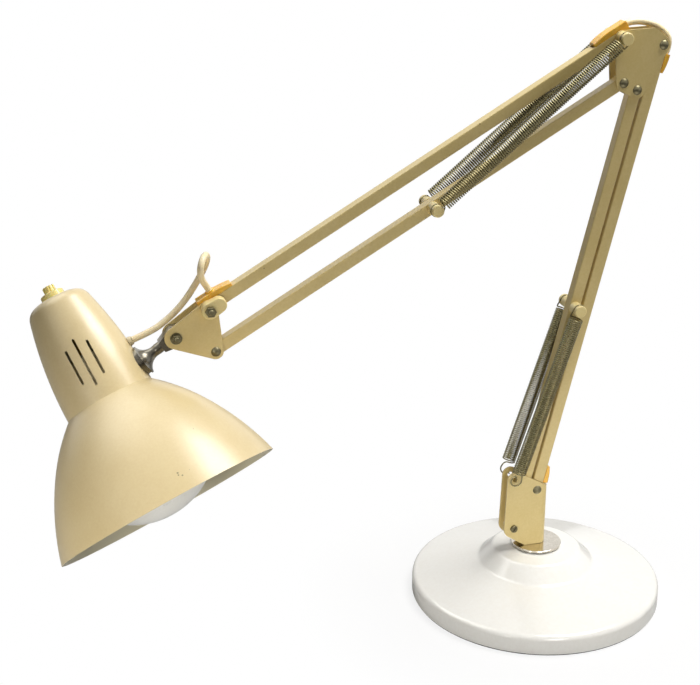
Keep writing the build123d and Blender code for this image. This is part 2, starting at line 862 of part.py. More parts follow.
with BuildPart() as stem_bolt:
    with BuildSketch(front_plane(plate_out)):
        with Locations(stem_place):
            Circle(stem_bolt_radius)
    extrude(amount=2 * plate_out + stem_washer_sheet + nut_height + bolt_end)
    fillet(stem_bolt.faces().sort_by(Axis.Y)[0].edges(), bolt_dome)
    with BuildSketch(front_plane(plate_out)):
        with Locations(stem_place):
            RegularPolygon(stem_nut_radius, 6)
    extrude(amount=-nut_height)
save(stem_bolt, "stem_bolt")

with BuildPart() as stem_washer:
    with BuildSketch(front_plane(-plate_out)):
        with Locations(stem_place):
            Circle(stem_washer_radius)
            Circle(stem_bolt_radius + running_fit, mode=Mode.SUBTRACT)
    extrude(amount=stem_washer_sheet)
save(stem_washer, "stem_washer")

with BuildPart() as stem_nut:
    with BuildSketch(front_plane(-plate_out - stem_washer_sheet)):
        with Locations(stem_place):
            RegularPolygon(stem_nut_radius, 6)
            Circle(stem_bolt_radius + running_fit, mode=Mode.SUBTRACT)
    extrude(amount=nut_height)
    fillet(stem_nut.faces().sort_by(Axis.Y)[0].outer_wire().edges(), nut_height / 6)
save(stem_nut, "stem_nut")

# Stem with its trumpet end, and the swivel hardware on its spigot
stem_angle = 180 + stem_drop
stem_plane = side_plane(stem_place, stem_angle)
stem_dir = stem_plane.x_dir
stem_axis = Axis(space(stem_place), stem_dir)
with BuildPart() as stem:
    with BuildSketch(stem_plane):
        Circle(stem_round)
        with Locations((neck_start, 0)):
            Rectangle(2 * neck_radius, 2 * neck_radius)
        make_hull()
        Circle(stem_bolt_radius + running_fit, mode=Mode.SUBTRACT)
    extrude(amount=half_tube, both=True)
    with BuildSketch(stem_plane):
        with BuildLine():
            Polyline((neck_start, 0), (neck_start, neck_radius), (flare_start, neck_radius))
            ThreePointArc(
                (flare_start, neck_radius), flare_middle, (stem_reach - flare_lip, flare_radius)
            )
            Polyline(
                (stem_reach - flare_lip, flare_radius),
                (stem_reach, flare_radius),
                (stem_reach, spigot_radius),
                (stem_reach + spigot_length, spigot_radius),
                (stem_reach + spigot_length, 0),
                (neck_start, 0),
            )
        make_face()
    revolve(axis=stem_axis)
save(stem, "stem")


def on_stem(reach):
    """A plane square to the stem's axis, some way from its pivot."""
    return Plane(origin=space(stem_place) + stem_dir * reach, x_dir=(0, 1, 0), z_dir=stem_dir)


with BuildPart() as swivel_nut:
    with BuildSketch(on_stem(swivel_washer_place)):
        Circle(swivel_washer_radius)
    extrude(amount=swivel_washer_sheet)
    with BuildSketch(on_stem(swivel_washer_place + swivel_washer_sheet)):
        RegularPolygon(swivel_nut_radius, 6)
    extrude(amount=swivel_nut_height)
    with BuildSketch(on_stem(swivel_washer_place)):
        Circle(spigot_radius + running_fit)
    extrude(amount=2 * (swivel_washer_sheet + swivel_nut_height), mode=Mode.SUBTRACT)
save(swivel_nut, "swivel_nut")

# The shade's own frame, leaning from the stem and swung round it
shade_hub = space(stem_place) + stem_dir * stem_to_axis
shade_down = stem_dir.rotate(Axis.Y, -stem_to_shade_angle)
shade_down = shade_down.rotate(Axis((0, 0, 0), stem_dir), shade_swing)
shade_up = -shade_down
rim_centre = shade_hub + shade_down * stem_height
shade_out = (shade_up * shade_up.dot(stem_dir) - stem_dir).normalized()
shade_axis = Axis(rim_centre, shade_up)
profile_plane = Plane(origin=rim_centre, x_dir=shade_out, z_dir=shade_out.cross(shade_up))
cross_dir = shade_up.cross(shade_out)


def at_height(height):
    """A plane square to the shade's axis, some way above the rim."""
    return Plane(origin=rim_centre + shade_up * height, x_dir=shade_out, z_dir=shade_up)


def shade_line():
    """The outside of the shade, from the rim to the middle of the cap."""
    bowl = ThreePointArc((rim_radius, 0), bowl_middle, bowl_shoulder)
    TangentArc(bowl_shoulder, crease, tangent=bowl % 1)
    neck = ThreePointArc(crease, neck_middle, cap_edge)
    TangentArc(cap_edge, cap_corner, tangent=neck % 1)
    Line(cap_corner, (nipple_radius + running_fit, cap_top))


with BuildPart() as shade_form:
    with BuildSketch(profile_plane):
        with BuildLine():
            shade_line()
            Polyline((nipple_radius + running_fit, cap_top), (0, cap_top), (0, 0), (rim_radius, 0))
        make_face()
    revolve(axis=shade_axis)

vent_dir = cross_dir.rotate(Axis((0, 0, 0), shade_up), vent_turn)
vent_places = [(-vent_pitch, vent_length), (0, vent_length + vent_extra), (vent_pitch, vent_length)]
grommet_plane = Plane(
    origin=rim_centre + shade_up * grommet_height + shade_out * neck_middle[0], x_dir=shade_up, z_dir=shade_out
)
with BuildPart() as shade:
    add(shade_form.part)
    offset(amount=-shade_sheet, openings=shade.faces().sort_by_distance(rim_centre)[0])
    with BuildSketch(at_height(cap_top - 2 * shade_sheet)):
        Circle(nipple_radius + running_fit)
    extrude(amount=3 * shade_sheet, mode=Mode.SUBTRACT)
    for side in (1, -1):
        vent_plane = Plane(
            origin=rim_centre + shade_up * vent_height, x_dir=shade_up, z_dir=vent_dir * side
        )
        with BuildSketch(vent_plane):
            for offset_across, length in vent_places:
                with Locations((0, offset_across)):
                    SlotOverall(length, vent_width)
        extrude(amount=rim_radius, mode=Mode.SUBTRACT)
    with BuildSketch(on_stem(stem_reach)):
        Circle(spigot_radius + running_fit)
    extrude(amount=spigot_length, mode=Mode.SUBTRACT)
    with BuildSketch(grommet_plane):
        Circle(grommet_waist + running_fit)
    extrude(amount=grommet_length, both=True, mode=Mode.SUBTRACT)
save(shade, "shade")

with BuildPart() as swivel_seat:
    with BuildSketch(on_stem(stem_reach + seat_gap)):
        Circle(seat_radius)
        Circle(spigot_radius + running_fit, mode=Mode.SUBTRACT)
    extrude(amount=spigot_length)
    add(shade_form.part, mode=Mode.SUBTRACT)
save(swivel_seat, "swivel_seat")

grommet_inner = -shade_sheet - 1.2
with BuildPart() as flex_grommet:
    with BuildSketch(grommet_plane.offset(grommet_inner - 1.5)):
        Circle(grommet_flange)
    extrude(amount=1.5)
    with BuildSketch(grommet_plane.offset(grommet_inner)):
        Circle(grommet_waist)
    extrude(amount=1.2 + shade_sheet + 0.8)
    with BuildSketch(grommet_plane.offset(0.8)):
        Circle(grommet_flange)
    with BuildSketch(grommet_plane.offset(grommet_length)):
        Circle(grommet_tip)
    loft()
    with BuildSketch(grommet_plane):
        Circle(flex_bore)
    extrude(amount=2 * grommet_length, both=True, mode=Mode.SUBTRACT)
save(flex_grommet, "flex_grommet")

# Lampholder, bulb and switch on the shade's axis
with BuildPart() as lampholder:
    with BuildSketch(at_height(holder_mouth)):
        Circle(holder_radius)
    extrude(amount=holder_top - holder_mouth)
    fillet(lampholder.edges().filter_by(GeomType.CIRCLE).sort_by_distance(shade_hub + shade_up * rim_radius)[0],
           holder_shoulder)
    with BuildSketch(at_height(holder_mouth)):
        Circle(sleeve_radius + running_fit)
    extrude(amount=holder_floor - holder_mouth, mode=Mode.SUBTRACT)
    with BuildSketch(at_height(holder_top - nipple_seat)):
        Circle(nipple_radius + running_fit)
    extrude(amount=nipple_seat, mode=Mode.SUBTRACT)
save(lampholder, "lampholder")

with BuildPart() as holder_sleeve:
    with BuildSketch(at_height(holder_mouth + sleeve_gap)):
        Circle(sleeve_radius)
        Circle(sleeve_radius - sleeve_sheet, mode=Mode.SUBTRACT)
    extrude(amount=holder_floor - holder_mouth - 2 * sleeve_gap)
save(holder_sleeve, "holder_sleeve")

with BuildPart() as holder_nipple:
    with BuildSketch(at_height(holder_top - nipple_seat + running_fit)):
        Circle(nipple_radius)
    extrude(amount=cap_top + switch_collar_height - holder_top + nipple_seat - running_fit)
    with BuildSketch(at_height(cap_top - shade_sheet - cap_nut_gap)):
        RegularPolygon(cap_nut_radius, 6)
    extrude(amount=-cap_nut_height)
    with BuildSketch(at_height(0)):
        Circle(spindle_radius + running_fit)
    extrude(amount=2 * cap_top, mode=Mode.SUBTRACT)
save(holder_nipple, "holder_nipple")

with BuildPart() as bulb_glass:
    with BuildSketch(profile_plane):
        with BuildLine():
            ThreePointArc((0, bulb_apex), bulb_face_middle, bulb_face_edge)
            ThreePointArc(bulb_face_edge, bulb_belly, bulb_back)
            ThreePointArc(bulb_back, bulb_waist, bulb_neck)
            offset(amount=bulb_glass_sheet, side=Side.LEFT)
        make_face()
    revolve(axis=shade_axis)
save(bulb_glass, "bulb_glass")

with BuildPart() as bulb_cap:
    with BuildSketch(at_height(bulb_neck[1] + running_fit)):
        Circle(bulb_cap_radius)
    extrude(amount=bulb_cap_length)
    with BuildSketch(at_height(bulb_neck[1] + running_fit + bulb_cap_length)):
        Circle(bulb_tip_radius)
    extrude(amount=bulb_tip_height)
save(bulb_cap, "bulb_cap")

with BuildPart() as switch_collar:
    with BuildSketch(at_height(cap_top + switch_collar_gap)):
        Circle(switch_collar_radius)
    extrude(amount=switch_collar_height - switch_collar_gap)
    fillet(switch_collar.edges().filter_by(GeomType.CIRCLE).sort_by_distance(rim_centre)[-1], lever_round)
    with BuildSketch(at_height(cap_top)):
        Circle(nipple_radius + running_fit)
    extrude(amount=2 * switch_collar_height, mode=Mode.SUBTRACT)
save(switch_collar, "switch_collar")

knob_base = cap_top + switch_collar_height + knob_gap
with BuildPart() as switch_knob:
    with BuildSketch(at_height(knob_base)):
        Circle(knob_radius)
        with PolarLocations(knob_radius, knob_flutes):
            Circle(knob_flute_radius, mode=Mode.SUBTRACT)
    extrude(amount=knob_height)
    with BuildSketch(at_height(knob_base - spindle_reach)):
        Circle(spindle_radius)
    extrude(amount=spindle_reach)
save(switch_knob, "switch_knob")

# Flex: the loop at the head, the arch over the elbow, and the stretches inside the tubes
flex_line = half_tube + clip_flex_rise
head_side = side_plane(head_top, upper_angle - 180)
elbow_top_side = side_plane(elbow_top, upper_angle)
elbow_rear_side = side_plane(elbow_rear, lower_angle + 180)
foot_side = side_plane(foot_rear, lower_angle)
collar_end = half_tube + clip_height + collar_height
grommet_end = grommet_plane.from_local_coords((0, 0, grommet_length))
head_flex_route = [
    grommet_end,
    (-338.0, 7.0, 282.8),
    (-327.0, 8.0, 289.8),
    (-317.0, 9.0, 298.0),
    (-308.5, 10.5, 307.0),
    (-301.0, 12.5, 316.5),
    (-294.5, 14.0, 326.0),
    (-290.0, 13.0, 335.5),
    (-291.0, 6.5, 343.2),
    (-295.5, -5.0, 345.2),
    (-299.5, -12.0, 339.0),
    (-299.3, -10.0, 331.5),
    (-297.4, -5.0, 325.4),
    head_side.from_local_coords((clip_entry, collar_end + 2 * flex_radius, 0)),
    head_side.from_local_coords((clip_entry, collar_end, 0)),
]
save(flex_cord("head_flex", head_flex_route), "head_flex")

rear_dive = dive_plane(elbow_rear_side, 1)
elbow_flex_route = [
    elbow_top_side.from_local_coords((-elbow_clip_over, -flex_line, 0)),
    (60.4, 0, 513.0),
    (68.5, 0, 513.3),
    (76.5, 0, 511.8),
    (84.5, 0, 508.6),
    (91.3, 0, 503.8),
    (95.7, 0, 498.0),
    rear_dive.from_local_coords((0, 0, -1.2 * flex_radius)),
    rear_dive.origin,
]
save(flex_cord("elbow_flex", elbow_flex_route), "elbow_flex")

inner_steps = ((0.045, -0.4), (0.13, 0.9), (0.3, -0.9), (0.48, 0.9), (0.66, -0.9), (0.83, 0.9), (0.93, -0.3))
upper_start = clip_entry + 7.5
upper_run = upper_arm - dive_end - upper_start
upper_flex_places = [
    (clip_entry, collar_end - flex_set_back),
    (clip_entry, half_tube - tube_wall),
    (upper_start, -flex_sink),
    *[(upper_start + upper_run * share, rise * flex_sink) for share, rise in inner_steps],
    (upper_arm - dive_end, -flex_sink),
    (upper_arm - clip_entry, flex_line),
    (upper_arm + elbow_clip_over - flex_set_back, flex_line),
]
upper_flex_route = [head_side.from_local_coords((*place, 0)) for place in upper_flex_places]
save(flex_cord("upper_arm_flex", upper_flex_route), "upper_arm_flex")

foot_dive = dive_plane(foot_side, -1)
lower_run = lower_arm - 2 * dive_end
lower_flex_route = [
    foot_dive.from_local_coords((0, 0, flex_set_back)),
    foot_side.from_local_coords((dive_end, flex_sink, 0)),
    *[
        foot_side.from_local_coords((dive_end + lower_run * share, -rise * flex_sink, 0))
        for share, rise in inner_steps
    ],
    foot_side.from_local_coords((lower_arm - dive_end, flex_sink, 0)),
    rear_dive.from_local_coords((0, 0, flex_set_back)),
]
save(flex_cord("lower_arm_flex", lower_flex_route), "lower_arm_flex")
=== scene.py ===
"""Architect lamp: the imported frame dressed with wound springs, flex, finishes and studio light."""

import json
from math import atan2, cos, pi, radians, sin

import bpy
from mathutils import Matrix, Quaternion, Vector


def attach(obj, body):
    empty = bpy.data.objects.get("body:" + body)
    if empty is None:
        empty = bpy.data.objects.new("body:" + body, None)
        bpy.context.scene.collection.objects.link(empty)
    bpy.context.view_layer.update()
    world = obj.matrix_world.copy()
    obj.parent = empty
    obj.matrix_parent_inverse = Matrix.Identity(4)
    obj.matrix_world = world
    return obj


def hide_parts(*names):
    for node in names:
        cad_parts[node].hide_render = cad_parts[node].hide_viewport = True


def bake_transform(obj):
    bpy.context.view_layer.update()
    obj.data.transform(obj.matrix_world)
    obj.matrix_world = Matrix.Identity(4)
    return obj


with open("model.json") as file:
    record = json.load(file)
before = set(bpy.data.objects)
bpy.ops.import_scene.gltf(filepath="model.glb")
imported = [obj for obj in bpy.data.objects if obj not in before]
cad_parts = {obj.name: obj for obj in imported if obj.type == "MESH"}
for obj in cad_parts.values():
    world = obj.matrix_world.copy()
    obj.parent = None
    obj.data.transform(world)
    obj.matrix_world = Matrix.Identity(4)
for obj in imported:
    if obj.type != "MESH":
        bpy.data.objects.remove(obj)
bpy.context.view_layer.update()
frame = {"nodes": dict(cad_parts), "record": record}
nodes = frame["nodes"]
scene = bpy.context.scene

MM = 0.001
WHITE = (1, 1, 1, 1)

# Camera at the photograph's angle
CAMERA_PLACE = (-0.46096, -1.05448, 0.66231)
CAMERA_TARGET = (-0.17526, 0.0, 0.25961)
CAMERA_ROLL = radians(-0.077)
CAMERA_LENS = 72.17
CAMERA_SENSOR = 36.0

# Spring wire and coils, in millimetres
WIRE = 1.25
WIRE_SIDES = 8
WIRE_ROUNDNESS = 2
COIL_RADIUS = 5.6
COIL_LEAD = 7.4
COIL_STEPS = 16
LEAST_STEPS = 8
LOWER_COILS = 84
UPPER_COILS = 98

# Hook rings, in millimetres and degrees; pulls are handle lengths, the ring's a share of its radius
HOOK_RADIUS = 5.1
EAR_HOOK_RADIUS = 4.9
HOOK_ENTRY = radians(60)
HOOK_START = -150
HOOK_END = 90
HOOK_STEP = 30
HOOK_SMOOTHNESS = 8
HOOK_PULL = 0.1755
LEAVING_PULL = 1.6
COIL_PULL = 3.2
TUCK_PULL = 3.4
TUCK_TAIL = 0.3

# Where the springs hang, in millimetres
SPRING_SIDE = 14.2
LOWER_POST = (23.20, 273.96)
ELBOW_POST = (50.22, 501.67)
UPPER_POST = (-106.38, 371.29)
EAR_HOLE = (-25.6, 117.5)
EAR_DEPTH = 7.4
EAR_RINGS = {"front": (-26.0, -10.6, 118.2), "back": (-27.9, 10.6, 121.6)}
EAR_HOOK_STARTS = {"front": HOOK_START, "back": 0}

# The lower springs are cut at these shares of their coils
LOWER_CUTS = (0.625, 0.875)
# Shares of the way from top to foot where the foot bracket and the front tube hold each piece fully
LOWER_BENDS = ((1.8195, 0.0), (1.327, 0.2577), (1.0, 0.7043))

# Flex routes, in millimetres, and where the loops are cut, as shares of their length
FLEX = 5.4
FLEX_ROUNDNESS = 4
FLEX_STEPS = 12
FLEX_ORDER = 3
HEAD_FLEX_CUTS = (0.34, 0.67)
ELBOW_FLEX_CUTS = (0.5,)
HEAD_FLEX = (
    (-353.39, 9.11, 276.06), (-337.3, 9.6, 281.8), (-326.1, 11.4, 288.5), (-316.1, 12.3, 296.7),
    (-307.6, 13.6, 305.8), (-300.5, 14.3, 315.8), (-294.3, 14.7, 325.7), (-290.0, 13.0, 335.5),
    (-291.0, 6.5, 343.2), (-295.5, -5.0, 345.2), (-299.5, -12.0, 339.0), (-299.3, -10.0, 331.5),
    (-297.4, -5.0, 325.4), (-294.13, 0.0, 320.01), (-291.41, 0.0, 315.34),
)
ELBOW_FLEX = (
    (50.28, 0.0, 508.53), (55.47, 0.0, 511.55), (60.4, 0.0, 513.0), (68.5, 0.0, 513.3),
    (76.5, 0.0, 511.8), (84.5, 0.0, 508.6), (91.3, 0.0, 503.8), (95.7, 0.0, 498.0),
    (94.59, 0.0, 488.85), (92.68, 0.0, 486.24), (89.15, 0.0, 481.4),
)
UPPER_ARM_FLEX = (
    (-290.66, 0.0, 314.04), (-288.1, 0.0, 309.63), (-279.05, 0.0, 308.99), (-265.51, 0.0, 317.62),
    (-240.03, 0.0, 334.09), (-186.64, 0.0, 362.84), (-132.16, 0.0, 396.8), (-75.69, 0.0, 427.34),
    (-24.29, 0.0, 459.51), (7.2, 0.0, 476.28), (29.16, 0.0, 488.16), (40.34, 0.0, 502.75),
    (54.17, 0.0, 510.79),
)
LOWER_ARM_FLEX = (
    (3.54, 0.0, 111.68), (0.48, 0.0, 129.68), (4.75, 0.0, 144.86), (12.98, 0.0, 173.48),
    (24.74, 0.0, 231.84), (41.16, 0.0, 292.7), (53.73, 0.0, 354.46), (69.34, 0.0, 411.91),
    (76.11, 0.0, 446.28), (81.0, 0.0, 470.3), (91.79, 0.0, 485.03),
)

# The shade's axis and the chips near its rim, in millimetres
RIM_CENTRE = (-338.411, -52.654, 155.078)
SHADE_UP = (-0.376213, 0.492089, 0.785055)
SHADE_CHIPS = (-337.0, -118.4, 219.2)
CHIPS_REACH = 8.0

# Plain metals: tone, other tone, least and most roughness, scale of the drift
METALS = {
    "plain_steel": ((196, 192, 182), (176, 171, 160), (0.22, 0.34), 120.0),
    "spring_steel": ((142, 135, 102), (116, 109, 80), (0.2, 0.32), 210.0),
    "bulb_metal": ((206, 202, 192), (184, 180, 168), (0.25, 0.38), 120.0),
    "brass": ((206, 176, 104), (184, 150, 84), (0.25, 0.4), 120.0),
}

# Moulded and cast pieces: the same, then the weight of the gloss coat and how soft light enters
MOULDINGS = {
    "amber_plastic": ((254, 202, 80), (246, 188, 64), (0.2, 0.32), 90.0, 0.3, 0.5),
    "cream_plastic": ((246, 228, 166), (238, 216, 148), (0.3, 0.42), 80.0, 0.15, 0.1),
    "ivory_flex": ((252, 236, 196), (246, 226, 180), (0.34, 0.46), 60.0, 0.1, 0.08),
    "holder_plastic": ((228, 214, 178), (216, 200, 162), (0.32, 0.46), 70.0, 0.0, 0.0),
    "switch_plastic": ((254, 236, 154), (250, 226, 134), (0.22, 0.34), 80.0, 0.3, 0.4),
    "nylon": ((238, 236, 226), (228, 225, 212), (0.4, 0.55), 70.0, 0.0, 0.0),
    "grey_iron": ((96, 96, 98), (78, 77, 78), (0.6, 0.75), 140.0, 0.0, 0.0),
    "black_rubber": ((44, 43, 42), (34, 33, 32), (0.6, 0.78), 120.0, 0.0, 0.0),
}

# Studio, in metres and watts
AIR_LIGHT = 0.14
MIDDLE = (-0.15, 0.0, 0.28)
ALL_ROUND = pi
# Lamps: place, target, size, power, colour, spread
LAMPS = {
    "key_light": ((0.5, 0.0, 1.6), MIDDLE, 0.8, 27.0, (1.0, 0.99, 0.97), ALL_ROUND),
    "floor_glow": (
        (-0.05, -0.48, 0.0005), (-0.05, -0.479, 1.0), 0.6, 1.2, (1.0, 0.97, 0.91), ALL_ROUND,
    ),
    "left_fill": (
        (-0.8, -0.7, 0.24), (-0.38, -0.1, 0.1), 0.3, 0.22, (1.0, 0.97, 0.92), radians(32),
    ),
    "base_fill": (
        (-0.05, -0.9, 0.3), (0.0, -0.02, 0.05), 0.3, 0.085, (1.0, 0.98, 0.95), radians(26),
    ),
}
# Cards that only show in reflections: place, target, width and height, tone
CARDS = {
    "front_card": ((-0.6, -2.0, 0.3), MIDDLE, (4.0, 1.3), (0.05, 0.045, 0.035)),
    "sheen_card": ((-0.75, 0.4, 1.35), (-0.35, -0.1, 0.25), (1.1, 0.9), (3.6, 3.6, 3.5)),
    "left_card": ((-2.2, 0.2, 0.5), MIDDLE, (2.0, 1.2), (0.12, 0.11, 0.09)),
}

# Floor: its size, the tones it throws back and shows, and how its shadow fades to white
FLOOR_SIZE = 12
FLOOR_BOUNCE = (0.48, 0.48, 0.48, 1)
FLOOR_SEEN = (0.9, 0.9, 0.9, 1)
SHADOW_FADE = (0.12, 0.22)
SHADOW_WHITE = 0.8


def metres(place):
    return Vector(place) * MM


def clear_selection():
    if bpy.context.object and bpy.context.object.mode != "OBJECT":
        bpy.ops.object.mode_set(mode="OBJECT")
    bpy.ops.object.select_all(action="DESELECT")


def pick(piece):
    clear_selection()
    piece.select_set(True)
    bpy.context.view_layer.objects.active = piece


def join_pieces(pieces, name):
    clear_selection()
    for piece in pieces:
        piece.select_set(True)
    bpy.context.view_layer.objects.active = pieces[0]
    if len(pieces) > 1:
        bpy.ops.object.join()
    piece = bpy.context.object
    piece.name = name
    piece.data.name = name
    return piece


def new_curve(name):
    """An empty curve in space, on an object of the same name."""
    curve = bpy.data.curves.new(name, "CURVE")
    curve.dimensions = "3D"
    piece = bpy.data.objects.new(name, curve)
    scene.collection.objects.link(piece)
    return piece, curve


def round_off(piece, diameter, roundness):
    """Give a curve a round, closed section."""
    piece.data.bevel_depth = diameter * MM / 2
    piece.data.bevel_resolution = roundness
    piece.data.use_fill_caps = True


def as_mesh(piece):
    pick(piece)
    bpy.ops.object.convert(target="MESH")
    piece = bpy.context.object
    bpy.ops.object.shade_smooth()
    return piece


# Nodes
def linear(red, green, blue):
    """A colour given as the eye sees it, 0 to 255, as the shader wants it."""
    def channel(level):
        level /= 255
        return level / 12.92 if level <= 0.04045 else ((level + 0.055) / 1.055) ** 2.4
    return (channel(red), channel(green), channel(blue), 1.0)


def feed(node, inputs):
    for name, value in inputs.items():
        if isinstance(value, bpy.types.NodeSocket):
            node.id_data.links.new(value, node.inputs[name])
        else:
            node.inputs[name].default_value = value
    return node


def add_node(tree, kind, inputs=None, **settings):
    node = tree.nodes.new(kind)
    for name, value in settings.items():
        setattr(node, name, value)
    return feed(node, inputs or {})


def maths(tree, operation, first, second):
    node = add_node(tree, "ShaderNodeMath", {0: first, 1: second}, operation=operation)
    return node.outputs[0]


def vector_maths(tree, operation, inputs, output="Vector"):
    node = add_node(tree, "ShaderNodeVectorMath", dict(enumerate(inputs)), operation=operation)
    return node.outputs[output]


def remap(tree, value, was, becomes=(0.0, 1.0)):
    """A value carried from one range to another."""
    ends = {"From Min": was[0], "From Max": was[1], "To Min": becomes[0], "To Max": becomes[1]}
    return add_node(tree, "ShaderNodeMapRange", {"Value": value, **ends}).outputs[0]


def blend_colours(tree, share, colour, other):
    inputs = {"Fac": share, "Color1": colour, "Color2": other}
    return add_node(tree, "ShaderNodeMixRGB", inputs).outputs["Color"]


def object_place(tree):
    return tree.nodes.new("ShaderNodeTexCoord").outputs["Object"]


def noise(tree, scale, detail):
    inputs = {"Vector": object_place(tree), "Scale": scale, "Detail": detail}
    return add_node(tree, "ShaderNodeTexNoise", inputs).outputs["Fac"]


def new_group(name, inputs, outputs):
    group = bpy.data.node_groups.new(name, "ShaderNodeTree")
    for socket, kind, value in inputs:
        made = group.interface.new_socket(socket, in_out="INPUT", socket_type=kind)
        made.default_value = value
    for socket, kind in outputs:
        group.interface.new_socket(socket, in_out="OUTPUT", socket_type=kind)
    given = group.nodes.new("NodeGroupInput").outputs
    return group, given, group.nodes.new("NodeGroupOutput")


def use_group(tree, group, inputs):
    node = tree.nodes.new("ShaderNodeGroup")
    node.node_tree = group
    return feed(node, inputs)


def make_mottle():
    """Cloudy drift between two tones, wide and fine together."""
    group, given, out = new_group(
        "cloudy_mottle",
        [
            ("Tone", "NodeSocketColor", (0.8, 0.8, 0.8, 1)),
            ("Other Tone", "NodeSocketColor", (0.7, 0.7, 0.7, 1)),
            ("Scale", "NodeSocketFloat", 40.0),
        ],
        [("Color", "NodeSocketColor")],
    )
    wide = noise(group, given["Scale"], 3.0)
    fine = noise(group, maths(group, "MULTIPLY", given["Scale"], 14.0), 2.0)
    share = remap(group, maths(group, "ADD", wide, fine), (0.72, 1.28))
    feed(out, {"Color": blend_colours(group, share, given["Tone"], given["Other Tone"])})
    return group


def make_uneven_gloss():
    """Roughness that drifts between two values, as handling and old polish leave it."""
    group, given, out = new_group(
        "uneven_gloss",
        [
            ("Least", "NodeSocketFloat", 0.3),
            ("Most", "NodeSocketFloat", 0.5),
            ("Scale", "NodeSocketFloat", 60.0),
        ],
        [("Roughness", "NodeSocketFloat")],
    )
    drift = noise(group, given["Scale"], 4.0)
    feed(out, {"Roughness": remap(group, drift, (0.3, 0.7), (given["Least"], given["Most"]))})
    return group


def make_specks():
    """Small scattered specks, most cells left clean."""
    group, given, out = new_group(
        "age_specks",
        [
            ("Scale", "NodeSocketFloat", 250.0),
            ("Size", "NodeSocketFloat", 0.14),
            ("Share", "NodeSocketFloat", 0.05),
        ],
        [("Mask", "NodeSocketFloat")],
    )
    place = {"Vector": object_place(group), "Scale": given["Scale"]}
    cells = add_node(group, "ShaderNodeTexVoronoi", place, feature="F1")
    near = maths(group, "LESS_THAN", cells.outputs["Distance"], given["Size"])
    chance = add_node(group, "ShaderNodeSeparateColor", {0: cells.outputs["Color"]}).outputs[0]
    kept = maths(group, "LESS_THAN", chance, given["Share"])
    feed(out, {"Mask": maths(group, "MULTIPLY", near, kept)})
    return group


def make_ripple():
    """Fine surface ripple: the skin of sprayed paint or moulded plastic."""
    group, given, out = new_group(
        "skin_ripple",
        [("Scale", "NodeSocketFloat", 700.0), ("Depth", "NodeSocketFloat", 0.3)],
        [("Height", "NodeSocketFloat")],
    )
    height = maths(group, "MULTIPLY", noise(group, given["Scale"], 2.0), given["Depth"])
    feed(out, {"Height": height})
    return group


def make_edge_rub():
    """Mask along sharp edges, broken up as by rubbing."""
    group, given, out = new_group(
        "edge_rub",
        [("Reach", "NodeSocketFloat", 0.0006), ("Strength", "NodeSocketFloat", 0.6)],
        [("Mask", "NodeSocketFloat")],
    )
    rounded = add_node(group, "ShaderNodeBevel", {"Radius": given["Reach"]}, samples=4)
    flat = group.nodes.new("ShaderNodeNewGeometry")
    normals = (rounded.outputs["Normal"], flat.outputs["Normal"])
    edge = remap(group, vector_maths(group, "DOT_PRODUCT", normals, "Value"), (0.98, 0.8))
    broken = remap(group, noise(group, 420.0, 3.0), (0.42, 0.62))
    worn = maths(group, "MULTIPLY", edge, broken)
    feed(out, {"Mask": maths(group, "MULTIPLY", worn, given["Strength"])})
    return group


mottle = make_mottle()
uneven_gloss = make_uneven_gloss()
specks = make_specks()
ripple = make_ripple()
edge_rub = make_edge_rub()


# Finishes
def new_finish(name, constants):
    material = bpy.data.materials.new(name)
    material.use_nodes = True
    shader = material.node_tree.nodes["Principled BSDF"]
    feed(shader, constants)
    return material, material.node_tree, shader


def give_skin(tree, shader, gloss, gloss_scale, ripple_scale, ripple_depth, bump=0.05):
    """Uneven gloss and a fine ripple."""
    drift = {"Least": gloss[0], "Most": gloss[1], "Scale": gloss_scale}
    rough = use_group(tree, uneven_gloss, drift)
    skin = use_group(tree, ripple, {"Scale": ripple_scale, "Depth": ripple_depth})
    height = {"Height": skin.outputs["Height"], "Strength": bump, "Distance": 0.0003}
    raised = add_node(tree, "ShaderNodeBump", height)
    feed(shader, {"Roughness": rough.outputs["Roughness"], "Normal": raised.outputs["Normal"]})


def toned(tree, tone, other, scale):
    tones = {"Tone": linear(*tone), "Other Tone": linear(*other), "Scale": scale}
    return use_group(tree, mottle, tones).outputs["Color"]


def marked(tree, colour, mark, mask, strength):
    """A colour with marks of another laid over it through a mask."""
    return blend_colours(tree, maths(tree, "MULTIPLY", mask, strength), colour, linear(*mark))


def cream_paint(name, tone, other, coat, inside_tone=None):
    """Warm cream gloss paint with a faint drift, age specks and rubbed edges."""
    material, tree, shader = new_finish(name, {"Coat Weight": coat, "Coat Roughness": 0.3})
    colour = toned(tree, tone, other, 38.0)
    if inside_tone is not None:
        colour = chipped(tree, lay_inside(tree, colour, inside_tone))
    spots = use_group(tree, specks, {"Scale": 190.0, "Size": 0.11, "Share": 0.008})
    colour = marked(tree, colour, (122, 100, 62), spots.outputs["Mask"], 0.7)
    rub = use_group(tree, edge_rub, {"Reach": 0.0007, "Strength": 0.5})
    colour = marked(tree, colour, (150, 128, 88), rub.outputs["Mask"], 0.5)
    feed(shader, {"Base Color": colour})
    give_skin(tree, shader, (0.3, 0.42), 45.0, 620.0, 0.35)
    return material


def lay_inside(tree, colour, inside_tone):
    """The shade's inner face has its own tone: there the surface looks towards the shade's axis."""
    coordinates = tree.nodes.new("ShaderNodeTexCoord").outputs
    from_rim = vector_maths(tree, "SUBTRACT", (coordinates["Object"], metres(RIM_CENTRE)))
    along = vector_maths(tree, "PROJECT", (from_rim, SHADE_UP))
    spoke = vector_maths(tree, "SUBTRACT", (from_rim, along))
    facing = vector_maths(tree, "DOT_PRODUCT", (spoke, coordinates["Normal"]), "Value")
    return marked(tree, colour, inside_tone, maths(tree, "LESS_THAN", facing, 0.0), 1.0)


